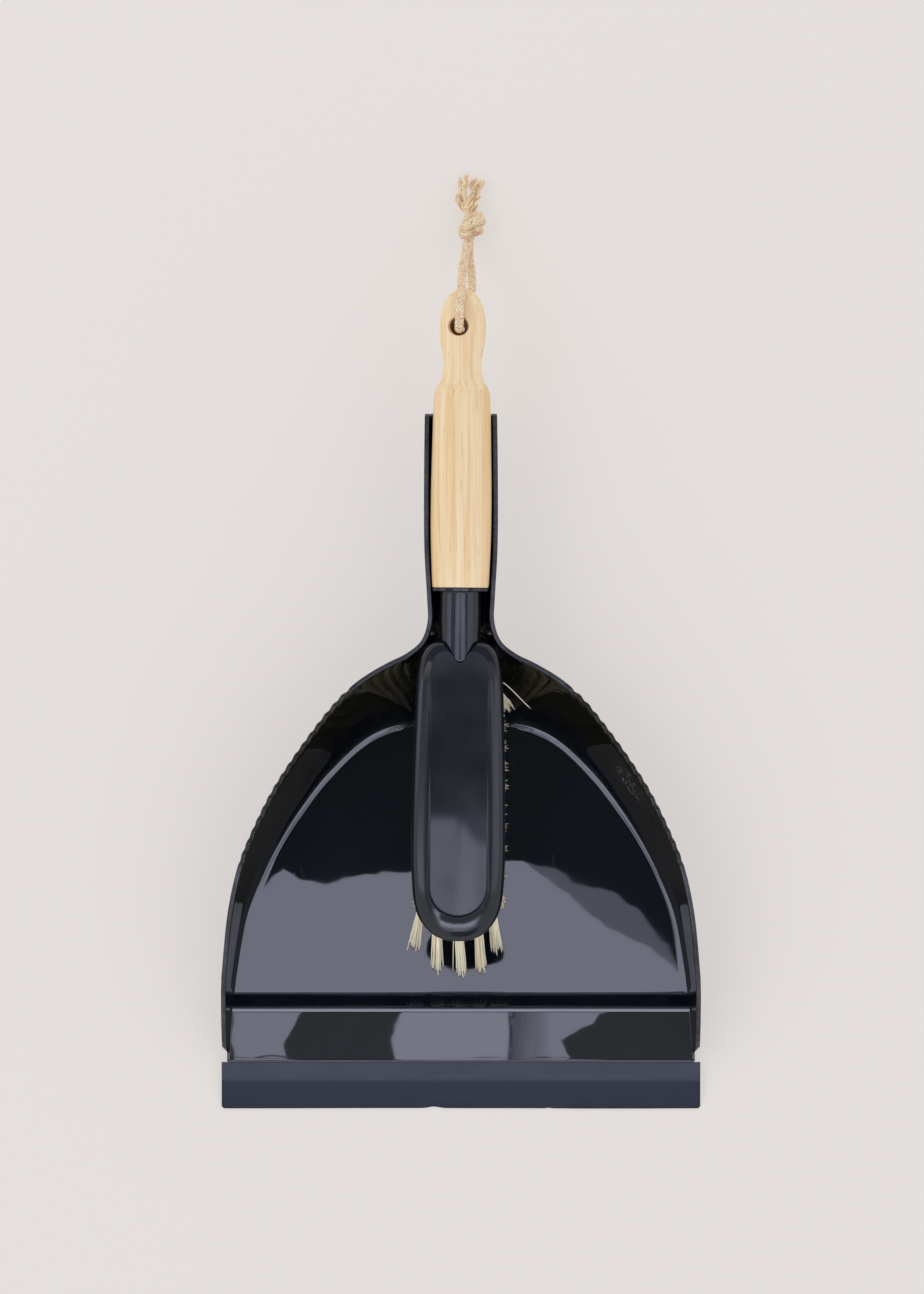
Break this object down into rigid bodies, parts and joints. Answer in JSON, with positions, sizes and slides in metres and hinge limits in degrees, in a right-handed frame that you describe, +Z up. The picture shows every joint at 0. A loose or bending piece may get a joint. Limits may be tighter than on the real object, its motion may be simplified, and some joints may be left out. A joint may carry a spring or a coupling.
{
  "type": "dustpan and brush",
  "caption": "Hand dustpan with a rubber lip, comb-toothed rim and U-shaped trough handle, holding a wooden-handled brush with a jute hanging loop.",
  "frame": {"origin": "under the middle of the set as it lies on the floor, at the bottom centre of its box without the hanging cord", "axes": "+X to the right of someone holding the handle, +Y towards the hanging end of the handle, +Z up; the lip is at -Y"},
  "size_m": [0.2298, 0.4472, 0.0582],
  "materials": {
    "pan_plastic": "glossy near-black navy moulded plastic, satin on the rim",
    "lip_rubber": "matt dark slate soft rubber",
    "head_plastic": "satin near-black navy moulded plastic",
    "handle_wood": "pale straight-grained wood, smooth and lightly sealed",
    "bristle": "ivory filaments",
    "jute_cord": "braided natural jute"
  },
  "bodies": {
    "dustpan": {"dustpan_body": "pan_plastic", "rubber_lip": "lip_rubber"},
    "brush": {"wooden_handle": "handle_wood", "brush_head": "head_plastic", "tuft_01_1": "bristle", "tuft_01_2": "bristle", "tuft_01_3": "bristle", "tuft_01_4": "bristle", "tuft_02_1": "bristle", "tuft_02_2": "bristle", "tuft_02_3": "bristle", "tuft_02_4": "bristle", "tuft_03_1": "bristle", "tuft_03_2": "bristle", "tuft_03_3": "bristle", "tuft_03_4": "bristle", "tuft_04_1": "bristle", "tuft_04_2": "bristle", "tuft_04_3": "bristle", "tuft_04_4": "bristle", "tuft_05_1": "bristle", "tuft_05_2": "bristle", "tuft_05_3": "bristle", "tuft_05_4": "bristle", "tuft_06_1": "bristle", "tuft_06_2": "bristle", "tuft_06_3": "bristle", "tuft_06_4": "bristle", "tuft_07_1": "bristle", "tuft_07_2": "bristle", "tuft_07_3": "bristle", "tuft_07_4": "bristle", "tuft_08_1": "bristle", "tuft_08_2": "bristle", "tuft_08_3": "bristle", "tuft_08_4": "bristle", "tuft_09_1": "bristle", "tuft_09_2": "bristle", "tuft_09_3": "bristle", "tuft_09_4": "bristle", "tuft_10_1": "bristle", "tuft_10_2": "bristle", "tuft_10_3": "bristle", "tuft_10_4": "bristle", "tuft_11_1": "bristle", "tuft_11_2": "bristle", "tuft_11_3": "bristle", "tuft_11_4": "bristle", "tuft_front_1": "bristle", "tuft_front_2": "bristle", "tuft_front_3": "bristle", "tuft_front_4": "bristle", "tuft_front_5": "bristle", "tuft_front_6": "bristle", "cord_front_leg": "jute_cord", "cord_back_leg": "jute_cord", "cord_knot": "jute_cord", "cord_fray_left": "jute_cord", "cord_fray_right": "jute_cord"}
  },
  "joints": [
    {"name": "brush_lift", "type": "slide", "parent": "dustpan", "child": "brush", "axis": [0, 0, 1], "range_m": [0, 0.1]}
  ]
}
